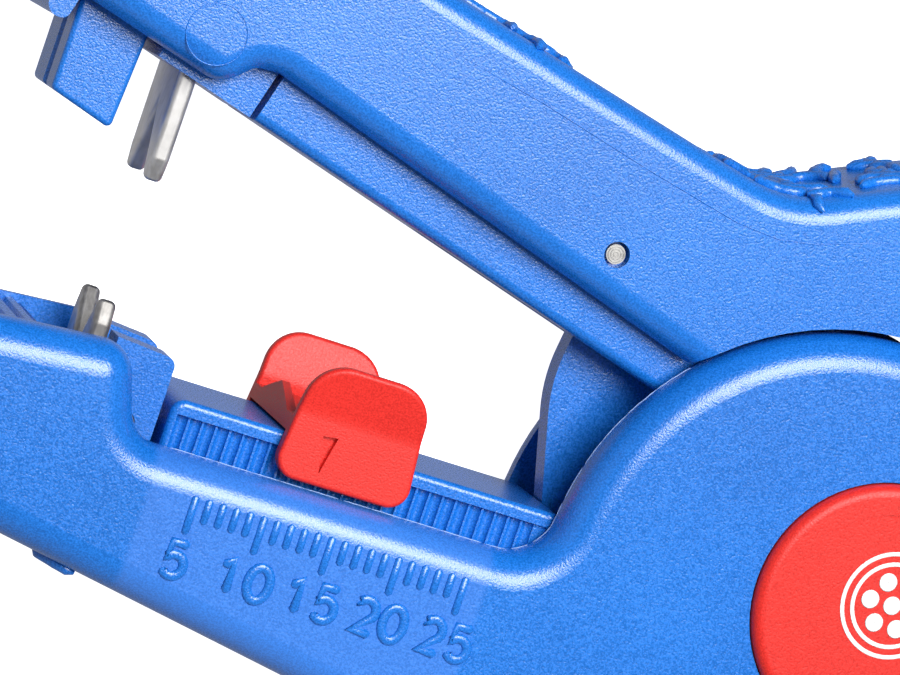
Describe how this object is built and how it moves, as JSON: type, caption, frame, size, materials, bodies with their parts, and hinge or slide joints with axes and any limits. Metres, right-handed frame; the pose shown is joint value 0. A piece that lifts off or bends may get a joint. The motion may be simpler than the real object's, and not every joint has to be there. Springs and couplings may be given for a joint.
{
  "type": "wire stripper",
  "caption": "Hand-held self-adjusting wire stripper with a sliding length stop beside a graduated scale, twin blade slides and two sprung plastic grips.",
  "frame": {"origin": "on the rear face of the lower jaw, under the centre of the round cap", "axes": "+Z is the tool's side normal on the scale side; +X runs along the lower jaw's rail from the jaws to the handles; +Y points from the lower jaw to the upper jaw"},
  "size_m": [0.19, 0.1045, 0.0198],
  "materials": {
    "blue_plastic": "satin, fine spark-eroded grain",
    "red_plastic": "moulded semi-gloss",
    "steel": "ground and turned",
    "spring_steel": "drawn wire, oiled"
  },
  "bodies": {
    "housing": {"housing_front_shell": "blue_plastic", "housing_rear_shell": "blue_plastic", "frame_plate_front": "steel", "frame_plate_rear": "steel", "pivot_sleeve": "steel", "pivot_bolt": "steel", "handle_pin": "steel", "arm_pin": "steel", "housing_screws": "steel", "upper_clamp_jaw": "blue_plastic", "upper_slide_spring": "spring_steel", "handle_return_spring": "spring_steel"},
    "upper_slide": {"upper_slide_bar": "blue_plastic", "upper_blade_holder": "blue_plastic", "upper_blade": "steel", "upper_blade_pin": "steel"},
    "lower_jaw": {"jaw_front_shell": "blue_plastic", "jaw_rear_shell": "blue_plastic", "jaw_screws": "steel", "drive_stub_front": "steel", "drive_stub_rear": "steel", "cap_front": "red_plastic", "cap_rear": "red_plastic", "lower_clamp_jaw": "blue_plastic", "lower_slide_spring": "spring_steel"},
    "lower_slide": {"stop_rail": "blue_plastic", "draw_plate": "blue_plastic", "lower_blade_holder": "blue_plastic", "lower_blade": "steel", "lower_blade_pin": "steel"},
    "length_stop": {"length_stop": "red_plastic"},
    "lower_handle": {"handle_front_shell": "blue_plastic", "handle_rear_shell": "blue_plastic", "lever_plate_front": "steel", "lever_plate_rear": "steel", "handle_screws": "steel"}
  },
  "joints": [
    {"name": "jaw_close", "type": "hinge", "parent": "housing", "child": "lower_jaw", "pos_m": [-0.0035, -0.002, 0.0095], "axis": [0, 0, -1], "range_deg": [0, 13.1]},
    {"name": "handle_squeeze", "type": "hinge", "parent": "housing", "child": "lower_handle", "pos_m": [0.0241, -0.0069, 0.0095], "axis": [0, 0, 1], "range_deg": [0, 18.4]},
    {"name": "lower_strip", "type": "slide", "parent": "lower_jaw", "child": "lower_slide", "axis": [1, 0, 0], "range_m": [0, 0.006]},
    {"name": "upper_strip", "type": "slide", "parent": "housing", "child": "upper_slide", "axis": [0.9649, -0.2625, 0], "range_m": [0, 0.006]},
    {"name": "stop_slide", "type": "slide", "parent": "lower_slide", "child": "length_stop", "axis": [1, 0, 0], "range_m": [-0.0078, 0.0015]}
  ],
  "couplings": [
    {"joint": "handle_squeeze", "follows": "jaw_close", "ratio": 1.397},
    {"joint": "upper_strip", "follows": "lower_strip", "ratio": 1}
  ]
}
